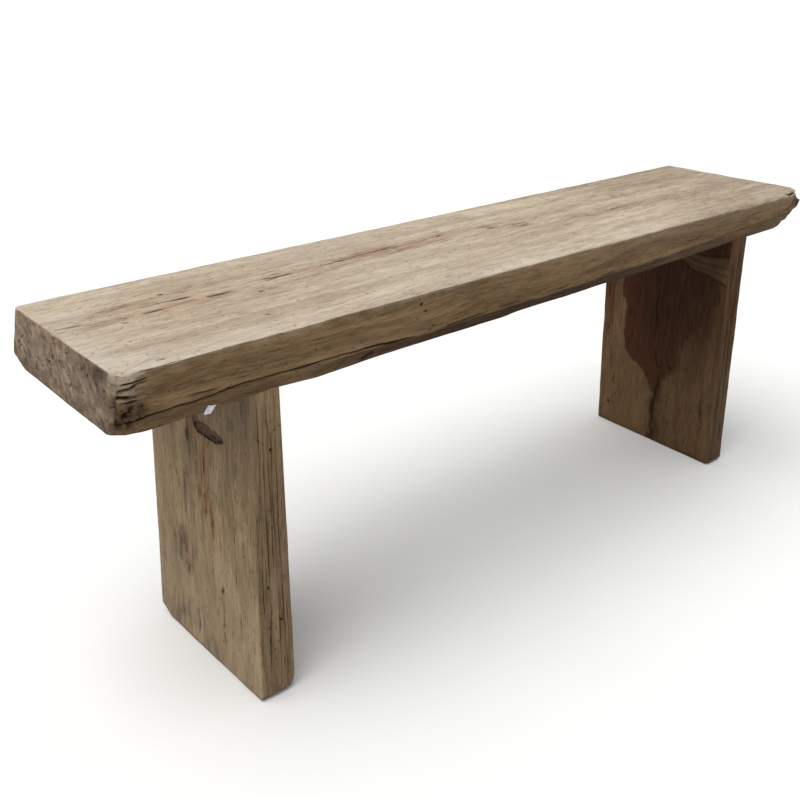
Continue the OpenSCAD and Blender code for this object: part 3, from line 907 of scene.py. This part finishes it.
def knot_left_leg(board, y, z, outer):
    """The spike knot near the top of the outer face: a dark leaf shape with a darker rim."""
    p = board.place
    shape = oval(y, z + 0.002 * fractal(p * (60, 60, 0), 120), (-0.031, 0.32), (0.029, 0.008))
    inside = fall(shape, 0.7, 1.15) * outer
    board.relief(0.0022 * inside)
    board.stain("stain", inside)
    board.stain("red", outer * spot(y, z, (-0.015, 0.314), (0.035, 0.02)) * 0.9)
    board.stain("crack", outer * bell(shape - 1.05, 0.28) * 0.9)
    board.stain("crack", inside * 0.35)
    board.crack(-y, z, outer, [(0.0, 0.321), (0.03, 0.319), (0.058, 0.317)], 0.0014, 0.003, 121, 0.9)
    ragged = outer * patchy(p * (70, 120, 0), 122, 0.65, 0.6)
    for centre, radii, strength in KNOT_STAINS:
        board.stain("stain", ragged * spot(y, z, centre, radii) * strength)
        board.stain("crack", ragged * spot(y, z, centre, radii) ** 2 * 0.7)
    for path, size, seed in OUTER_CRACKS:
        board.crack(z, y, outer, path, 0.001 * size, 0.0018, seed, 0.75, 0.0009, 0.55)


def stain_left_leg(board, y, z, outer):
    """Reddish streaks below the knot, grey patches, a dark-rimmed scar and a few holes."""
    p = board.place
    wander = 0.004 * noise(np.column_stack([z * 20, z * 0, z * 0]), 131)
    for place, low, high, width in LEFT_STREAKS:
        ends = smooth_step(z, low, low + 0.03) * fall(z, high - 0.03, high)
        board.stain("red", outer * bell(y - place - wander, width) * ends * 0.95)
    ragged = outer * patchy(p * (26, 150, 0), 132, 0.6, 0.9)
    for centre, radii, strength in LEFT_STAINS:
        board.stain("stain", ragged * spot(y, z, centre, radii) * strength * 1.25)
    scar = (0.035, 0.134)
    board.stain("red", outer * spot(y, z, scar, (0.005, 0.024)))
    ring = oval(y + 0.003 * fractal(p * (50, 50, 0), 134), z, scar, (0.016, 0.03))
    board.stain("crack", outer * bell(ring - 1, 0.8) * 0.45 * patchy(p * (70, 260, 0), 133, 0.4, 1))
    # Painted shade: the top of the outer face darkens under the seat
    board.stain("stain", outer * smooth_step(z, 0.28, 0.41) * 0.5)
    board.stain("pale", outer * fall(z, 0.05, 0.22) * 0.35)
    for centre in LEFT_HOLES:
        board.pit(y, z, outer, centre, (0.0014, 0.002), 0.0022, 0.95)


def split_front_edge(board, z, across, front):
    """Long splits down the left leg's front edge, with a few holes between them."""
    for path, size, seed in EDGE_SPLITS:
        board.crack(z, across, front, path, 0.0007 * size, 0.003, seed, 0.9, 0.0007, 0.55)
    board.scatter_cracks(z, across, front, ((0.01, 0.39), (-0.02, 0.02)), 50, 0.0006, 0.0012, 2300, 0.45)
    for centre in EDGE_HOLES:
        board.pit(z, across, front, centre, (0.002, 0.0015), 0.003)
    board.relief(0.0006 * (1 + fractal(board.place * (10, 1, 160), 157)) * front)


# The right leg's dark stain: its two sides, as y at each height
STAIN_BACK = [(0.0, -0.006), (0.08, 0.002), (0.105, 0.008), (0.13, 0.026), (0.155, 0.062),
              (0.19, 0.077), (0.28, 0.082), (0.4, 0.086)]
STAIN_FRONT = [(0.0, -0.024), (0.08, -0.018), (0.125, -0.024), (0.15, -0.044), (0.195, -0.054),
               (0.24, -0.085), (0.3, -0.115), (0.4, -0.13)]
# Its smaller stains: their centres and radii
RIGHT_STAINS = [((0.098, 0.13), (0.006, 0.016)), ((0.085, 0.09), (0.004, 0.01)),
                ((-0.105, 0.09), (0.008, 0.05)), ((-0.04, 0.06), (0.02, 0.02)),
                ((-0.002, 0.016), (0.011, 0.03)), ((-0.108, 0.15), (0.008, 0.02))]
RIGHT_EDGE_CRACKS = [([(0.03, -0.008), (0.2, -0.006), (0.38, -0.009)], 231),
                     ([(0.1, 0.003), (0.3, 0.005), (0.4, 0.003)], 232),
                     ([(0.22, 0.01), (0.32, 0.009), (0.4, 0.011)], 237)]
RIGHT_OUTER_CRACKS = [([(0.02, 0.05), (0.18, 0.045), (0.33, 0.052)], 233),
                      ([(0.14, -0.03), (0.38, -0.036)], 234), ([(0.05, -0.08), (0.2, -0.077)], 235)]
# The spike knot's lower and upper sides, as the height at each y
SPIKE_LOW = [(-0.12, 0.328), (-0.06, 0.338), (-0.01, 0.35), (0.03, 0.356)]
SPIKE_HIGH = [(-0.12, 0.374), (-0.07, 0.368), (-0.02, 0.36), (0.03, 0.357)]


def right_leg():
    """The thinner leg, whose inner face has the dark stain and the spike knot."""
    board = leg_board("right_leg", 201)
    board.knock_off((-1, -1, 0), (0.005, 0.008, 0), 212, 0.0005)
    to_world = leg_mapper("right_leg", board.half, 0.006)
    _, y, z = to_world(board.place).T
    across = board.place[:, 2]
    inner, outer = board.side(2, -1), board.side(2, 1)
    front, back = board.side(1, -1), board.side(1, 1)
    board.marks["face"] = inner
    stain_right_leg(board, y, z, inner)
    knots_right_leg(board, y, z, inner)
    for path, seed in RIGHT_EDGE_CRACKS:
        board.crack(z, across, front, path, 0.0012, 0.004, seed, 0.9, 0.0009, 0.6)
    board.stain("red", front * smooth_step(z, 0.16, 0.3) * patchy(board.place * (12, 1, 90), 238, 0.05, 0.7))
    board.scatter_cracks(z, across, front, ((0.01, 0.39), (-0.015, 0.015)), 24, 0.0011, 0.002, 3300)
    board.scatter_cracks(z, y, inner, FACE_SPANS, 50, 0.0012, 0.001, 3000, 0.45)
    board.scatter_cracks(z, y, outer, FACE_SPANS, 30, 0.002, 0.0015, 3600, 0.5)
    for path, seed in RIGHT_OUTER_CRACKS:
        board.crack(z, y, outer, path, 0.0026, 0.004, seed, 0.85)
    board.crack(z, across, back, BACK_PATH, 0.002, 0.004, 236)
    return board.build("right_leg_board", to_world, Wood(
        "right_leg_elm", axis=2, pith=(0.62, 0.02, 0), grain=0.4,
        worn=((0.17, 0.104, 0.053), (0.125, 0.074, 0.037), (0.066, 0.037, 0.019)),
        raw_and_shaded=((0.115, 0.072, 0.04), (0.085, 0.052, 0.027), (0.042, 0.025, 0.014)),
        end=LEG_END,
        tints={"stain": (0.034, 0.014, 0.007), "red": (0.075, 0.025, 0.011),
               "pale": (0.2, 0.125, 0.06), "crack": (0.012, 0.006, 0.004)}).material)


def stain_right_leg(board, y, z, inner):
    """The dark stain on the inner face, which narrows to a point, and the painted shade around it."""
    p = board.place
    ragged = 0.007 * fractal(np.column_stack([z * 30, y * 14, z * 0]), 221)
    ragged += 0.004 * noise(np.column_stack([z * 12, y * 260, z * 0]), 222)
    edge = along(z, STAIN_BACK) + ragged - y
    dark = smooth_step(edge, -0.001, 0.005) * smooth_step(y - along(z, STAIN_FRONT) - ragged, -0.008, 0.008)
    board.stain("stain", inner * dark * (0.8 + 0.2 * smooth_step(z, 0.05, 0.3)))
    red = np.clip(fall(edge, 0.01, 0.07) + 0.45 * fall(z, 0.17, 0.26), 0, 1) * smooth_step(z, 0.07, 0.16)
    board.stain("red", inner * dark * red * 0.9)
    strip = smooth_step(y, 0.094, 0.104) * smooth_step(z, 0.12, 0.2) * fall(z, 0.3, 0.37)
    board.stain("red", inner * strip * patchy(p * (20, 90, 0), 227, 0.7, 0.7))
    board.stain("pale", inner * smooth_step(-edge, 0, 0.006) * fall(z, 0.1, 0.35) * 0.3)
    # Painted shade: darker up under the seat and over the front half, lighter along the front edge
    to_front = fall(y, -0.05, 0.03)
    shade = smooth_step(z, 0.2 - 0.12 * to_front, 0.38 - 0.1 * to_front) * (0.7 + 0.15 * to_front)
    shade *= 1 - 0.5 * bell(y + 0.114, 0.01)
    board.stain("stain", inner * np.clip(shade + 0.12 * to_front, 0, 1))
    ragged = inner * patchy(p * (30, 150, 0), 223, 0.4, 0.8)
    for centre, radii in RIGHT_STAINS:
        board.stain("stain", ragged * spot(y, z, centre, radii) * 0.8)


def knots_right_leg(board, y, z, inner):
    """The ringed knot in the stain, the vein below and above it, a hole, and the spike knot."""
    p = board.place
    shape = oval(y, z, (-0.01, 0.153), (0.007, 0.008)) + 0.25 * fractal(p * (140, 140, 0), 224)
    board.stain("crack", inner * bell(shape - 0.9, 0.5) * 0.75)
    board.stain("crack", inner * spot(y, z, (-0.034, 0.152), (0.006, 0.004)) * 0.7)
    board.stain("crack", inner * spot(y, z, (0.009, 0.302), (0.006, 0.008)) * 0.6)
    board.stain("pale", inner * spot(y, z, (-0.02, 0.155), (0.006, 0.006)) * 0.35)
    board.relief(0.001 * np.exp(-np.maximum(shape, 0)) * inner)
    board.pit(y, z, inner, (0.0945, 0.041), (0.0022, 0.003), 0.003)
    vein = bell(y + 0.007 - 0.004 * fractal(p * (40, 0, 0), 229), 0.008)
    board.stain("stain", inner * vein * fall(z, 0.1, 0.14) * 0.7)
    board.crack(z, y, inner, [(-0.01, -0.004), (0.05, -0.007), (0.11, -0.01), (0.15, -0.008)],
                0.005, 0.002, 225, 0.65, 0.005, 0.5)
    board.crack(z, y, inner, [(0.14, -0.006), (0.2, 0.004), (0.3, 0.009), (0.4, 0.012)],
                0.003, 0.002, 228, 0.6, 0.003, 0.5)
    wobble = 0.0025 * noise(p * (50, 50, 0), 226)
    low, high = along(y, SPIKE_LOW) + wobble, along(y, SPIKE_HIGH) + wobble
    fade = fall(y, -0.01, 0.03) * inner
    wedge = smooth_step(z - low, -0.003, 0.007) * smooth_step(high - z, 0, 0.005) * fade
    board.marks["stain"] *= 1 - 0.35 * wedge
    board.stain("pale", 0.25 * wedge)
    for share, strength in ((0, 0.5), (1, 0.5), (0.3, 0.4), (0.6, 0.5)):
        arc = low + share * (high - low)
        board.cut(0.0008 * bell(z - arc, 0.0028) * fade, "crack", strength)


# ---------------------------------------------------------------- the label

# The sheet's top left corner, from the CAD label's lowest x and y and its highest z
LABEL_CORNER = (0.0035, -0.0002, -0.005)
# Its top edge and its left edge, as runs in x, y and z
LABEL_TOP = (0.0092, 0, -0.0016)
LABEL_LEFT = (-0.008, 0, -0.0066)
# How far its lower edge curls away from the seat
LABEL_CURL = 0.003


def label():
    """The paper label: a thin sheet on the seat's edge, whose lower left corner curls away."""
    low, high = (np.array(c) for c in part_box("paper_label"))
    start = np.array([low[0], low[1], high[2]]) + LABEL_CORNER
    columns, rows = 14, 12
    u, w = (s.ravel() for s in np.meshgrid(np.linspace(0, 1, columns), np.linspace(0, 1, rows)))
    curl = w**2 * (1.2 - 0.6 * u) + 0.12 * np.sin(3 * u)
    front = start + np.outer(u, LABEL_TOP) + np.outer(w, LABEL_LEFT)
    front -= np.outer(curl, (0, LABEL_CURL, 0))
    back = front + (0, LABEL_THICKNESS, 0)
    n = len(front)
    first = [j * columns + i for j in range(rows - 1) for i in range(columns - 1)]
    faces = [(i, i + 1, i + columns + 1, i + columns) for i in first]
    faces += [tuple(i + n for i in f[::-1]) for f in faces]
    grid = np.arange(n).reshape(rows, columns)
    rim = np.concatenate([grid[0, :-1], grid[:-1, -1], grid[-1, :0:-1], grid[:0:-1, 0]]).tolist()
    faces += [(b, a, a + n, b + n) for a, b in zip(rim, rim[1:] + rim[:1])]
    mesh = bpy.data.meshes.new("label_sheet")
    mesh.from_pydata(np.vstack([front, back]).tolist(), [], faces)
    piece = bpy.data.objects.new("label_sheet", mesh)
    bpy.context.scene.collection.objects.link(piece)
    piece.data.materials.append(plain_material(
        "label_paper", (0.66, 0.66, 0.67), (0.48, 0.48, 0.5), (160, 160, 420), 0.85))
    return piece


# ---------------------------------------------------------------- the scene


def light_and_floor():
    """Plain soft daylight from above the left end, and a pale floor."""
    world = bpy.data.worlds.new("studio")
    bpy.context.scene.world = world
    world.use_nodes = True
    background = world.node_tree.nodes["Background"]
    background.inputs["Color"].default_value = (0.96, 0.98, 1.0, 1)
    background.inputs["Strength"].default_value = 0.55
    sun = bpy.data.lights.new("window", "SUN")
    sun.energy = 2.6
    sun.angle = math.radians(60)
    sun.color = (1.0, 0.985, 0.96)
    lamp = bpy.data.objects.new("window", sun)
    lamp.rotation_euler = Vector((-0.42, 0.06, 0.9)).to_track_quat("Z", "Y").to_euler()
    bpy.context.scene.collection.objects.link(lamp)
    bpy.ops.mesh.primitive_plane_add(size=120)
    floor = bpy.context.object
    floor.name = "floor"
    floor.data.materials.append(plain_material(
        "pale_floor", (0.84, 0.84, 0.83), (0.86, 0.86, 0.85), (1.5, 1.5, 1.5), 0.9))


def camera():
    """The camera, at the place and with the lens that are named above."""
    data = bpy.data.cameras.new("camera")
    data.lens = CAMERA_LENS
    data.sensor_width = SENSOR
    eye = bpy.data.objects.new("camera", data)
    eye.matrix_world = (Matrix.Translation(CAMERA_AT)
                        @ Matrix.Rotation(-math.radians(CAMERA_YAW), 4, "Z")
                        @ Matrix.Rotation(math.radians(90 - CAMERA_PITCH), 4, "X")
                        @ Matrix.Rotation(math.radians(CAMERA_ROLL), 4, "Z"))
    bpy.context.scene.collection.objects.link(eye)
    bpy.context.scene.camera = eye


def finish_cad_nodes():
    """Gives the wedges, which stay as the CAD made them, a material of their own."""
    wedge = plain_material("split_hardwood", (0.4, 0.26, 0.13), (0.3, 0.18, 0.085), (700, 500, 22), 0.7)
    for name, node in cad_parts.items():
        if "wedge" in name:
            node.data.materials.clear()
            node.data.materials.append(wedge)


camera()
light_and_floor()
finish_cad_nodes()
bpy.context.scene.view_settings.view_transform = "Standard"
for maker, node, slot in ((seat, "seat_slab", "seat_wood"), (left_leg, "left_leg", "left_leg_wood"),
                          (right_leg, "right_leg", "right_leg_wood"),
                          (label, "paper_label", "label_paper")):
    piece = maker()
    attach(piece, "root")
    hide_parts(node)
